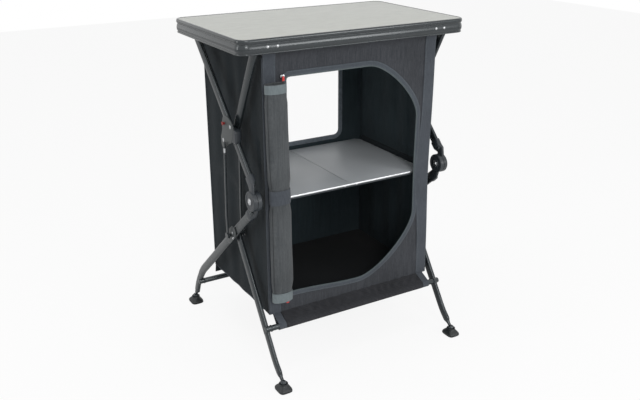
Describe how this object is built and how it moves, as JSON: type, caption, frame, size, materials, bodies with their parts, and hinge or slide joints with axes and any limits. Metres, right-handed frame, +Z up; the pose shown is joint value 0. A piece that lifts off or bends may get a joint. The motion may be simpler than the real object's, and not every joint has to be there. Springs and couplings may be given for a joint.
{
  "type": "camping cupboard",
  "caption": "Folding camping cupboard: two fabric compartments with a roll-up door in a scissor-leg metal frame under a laminate worktop.",
  "frame": {"origin": "on the ground under the middle of the worktop", "axes": "+Z up, -Y towards the front with the door opening, +X to the right seen from the front"},
  "size_m": [0.66, 0.614, 0.9],
  "materials": {
    "laminate": "satin",
    "rim_plastic": "satin",
    "tube_metal": "satin",
    "bright_metal": "polished",
    "dark_plastic": "matte",
    "front_fabric": "woven",
    "side_fabric": "woven",
    "webbing": "ribbed",
    "shelf_board": "satin",
    "rubber": "matte",
    "red_plastic": "gloss"
  },
  "bodies": {
    "cabinet": {"left_side_panel": "side_fabric", "right_side_panel": "side_fabric", "rear_panel": "side_fabric", "front_panel": "front_fabric", "floor_panel": "side_fabric", "window_binding": "webbing", "door_zip_track": "webbing", "corner_webbing_left": "webbing", "corner_webbing_right": "webbing", "door_roll": "front_fabric", "roll_strap_top": "webbing", "roll_strap_middle": "webbing", "roll_strap_bottom": "webbing", "shelf_sling": "side_fabric", "cross_pin_left": "bright_metal", "cross_pin_right": "bright_metal"},
    "rear_legs": {"rear_leg_left": "tube_metal", "rear_leg_right": "tube_metal", "rear_bottom_bar": "tube_metal", "knuckle_lower_left": "dark_plastic", "knuckle_lower_right": "dark_plastic", "knuckle_pin_left": "bright_metal", "knuckle_pin_right": "bright_metal", "cross_plate_left": "dark_plastic", "cross_plate_right": "dark_plastic"},
    "front_legs": {"front_leg_left": "tube_metal", "front_leg_right": "tube_metal", "front_bottom_bar": "tube_metal"},
    "upper_frame": {"long_tube_left": "tube_metal", "long_tube_right": "tube_metal", "hub_plate_left": "dark_plastic", "hub_plate_right": "dark_plastic", "knuckle_upper_left": "dark_plastic", "knuckle_upper_right": "dark_plastic"},
    "front_upper_frame": {"short_tube_left": "tube_metal", "short_tube_right": "tube_metal", "front_top_bar": "tube_metal"},
    "top_hinge_bar": {"rear_top_bar": "tube_metal"},
    "tabletop": {"tabletop_board": "laminate", "tabletop_rim": "rim_plastic", "rear_clip_left": "dark_plastic", "rear_clip_right": "dark_plastic", "front_bracket_left": "bright_metal", "front_bracket_right": "bright_metal"},
    "strut_left": {"strut_outer_left": "tube_metal", "strut_inner_left": "tube_metal"},
    "strut_right": {"strut_outer_right": "tube_metal", "strut_inner_right": "tube_metal"},
    "button_left": {"latch_button_left": "red_plastic"},
    "button_right": {"latch_button_right": "red_plastic"},
    "pad_front_left": {"foot_front_left": "rubber"},
    "pad_front_right": {"foot_front_right": "rubber"},
    "pad_rear_left": {"foot_rear_left": "rubber"},
    "pad_rear_right": {"foot_rear_right": "rubber"},
    "shelf_left_half": {"shelf_left": "shelf_board", "shelf_trim_left": "bright_metal"},
    "shelf_right_half": {"shelf_right": "shelf_board", "shelf_trim_right": "bright_metal"},
    "slider": {"zip_slider": "bright_metal"},
    "pull": {"zip_pull": "red_plastic"}
  },
  "joints": [
    {"name": "frame_fold", "type": "hinge", "parent": "rear_legs", "child": "upper_frame", "pos_m": [0, -0.172, 0.494], "axis": [-1, 0, 0], "range_deg": [0, 70], "deforming": ["left_side_panel", "right_side_panel", "rear_panel", "front_panel", "floor_panel", "window_binding", "door_zip_track", "corner_webbing_left", "corner_webbing_right", "door_roll", "roll_strap_top", "roll_strap_middle", "roll_strap_bottom", "shelf_sling"]},
    {"name": "rear_leg_fold", "type": "hinge", "parent": "cabinet", "child": "rear_legs", "pos_m": [0, -0.038, 0.353], "axis": [1, 0, 0], "range_deg": [0, 33.4]},
    {"name": "front_leg_fold", "type": "hinge", "parent": "cabinet", "child": "front_legs", "pos_m": [0, -0.038, 0.353], "axis": [1, 0, 0], "range_deg": [0, 105.5]},
    {"name": "front_frame_fold", "type": "hinge", "parent": "upper_frame", "child": "front_upper_frame", "pos_m": [0, -0.057, 0.65], "axis": [-1, 0, 0], "range_deg": [0, 68.65]},
    {"name": "top_bar_turn", "type": "hinge", "parent": "upper_frame", "child": "top_hinge_bar", "pos_m": [0, 0.16, 0.872], "axis": [-1, 0, 0], "range_deg": [0, 40]},
    {"name": "tabletop_lift", "type": "slide", "parent": "top_hinge_bar", "child": "tabletop", "axis": [0, 0, 1], "range_m": [0, 0.12]},
    {"name": "strut_left_fold", "type": "hinge", "parent": "cabinet", "child": "strut_left", "pos_m": [0, -0.038, 0.353], "axis": [-1, 0, 0], "range_deg": [0, 82]},
    {"name": "strut_right_fold", "type": "hinge", "parent": "cabinet", "child": "strut_right", "pos_m": [0, -0.038, 0.353], "axis": [-1, 0, 0], "range_deg": [0, 82]},
    {"name": "button_left_press", "type": "slide", "parent": "upper_frame", "child": "button_left", "axis": [1, 0, 0], "range_m": [0, 0.004], "stiffness_N_per_m": 300, "springref_m": -0.002},
    {"name": "button_right_press", "type": "slide", "parent": "upper_frame", "child": "button_right", "axis": [-1, 0, 0], "range_m": [0, 0.004], "stiffness_N_per_m": 300, "springref_m": -0.002},
    {"name": "pad_front_left_tilt", "type": "hinge", "parent": "front_legs", "child": "pad_front_left", "pos_m": [-0.277, -0.284, 0.02], "axis": [1, 0, 0], "range_deg": [-10, 10]},
    {"name": "pad_front_right_tilt", "type": "hinge", "parent": "front_legs", "child": "pad_front_right", "pos_m": [0.277, -0.284, 0.02], "axis": [1, 0, 0], "range_deg": [-10, 10]},
    {"name": "pad_rear_left_tilt", "type": "hinge", "parent": "rear_legs", "child": "pad_rear_left", "pos_m": [-0.29, 0.284, 0.02], "axis": [1, 0, 0], "range_deg": [-10, 10]},
    {"name": "pad_rear_right_tilt", "type": "hinge", "parent": "rear_legs", "child": "pad_rear_right", "pos_m": [0.29, 0.284, 0.02], "axis": [1, 0, 0], "range_deg": [-10, 10]},
    {"name": "shelf_drop", "type": "slide", "parent": "cabinet", "child": "shelf_left_half", "axis": [0, 0, -1], "range_m": [0, 0.085]},
    {"name": "shelf_fold", "type": "hinge", "parent": "shelf_left_half", "child": "shelf_right_half", "pos_m": [0, 0, 0.484], "axis": [0, -1, 0], "range_deg": [0, 175]},
    {"name": "zip_slide", "type": "slide", "parent": "cabinet", "child": "slider", "axis": [1, 0, 0], "range_m": [0, 0.22]},
    {"name": "zip_pull_swing", "type": "hinge", "parent": "slider", "child": "pull", "pos_m": [-0.205, -0.1816, 0.8], "axis": [-1, 0, 0], "range_deg": [0, 150]}
  ],
  "couplings": [
    {"joint": "rear_leg_fold", "follows": "frame_fold", "ratio": 0.47714},
    {"joint": "front_leg_fold", "follows": "frame_fold", "ratio": 1.5071},
    {"joint": "front_frame_fold", "follows": "frame_fold", "ratio": 0.98071},
    {"joint": "top_bar_turn", "follows": "frame_fold", "ratio": 0.57143},
    {"joint": "strut_left_fold", "follows": "frame_fold", "ratio": 1.1714},
    {"joint": "strut_right_fold", "follows": "frame_fold", "ratio": 1.1714},
    {"joint": "shelf_drop", "follows": "frame_fold", "m_per_rad": 0.069573}
  ]
}
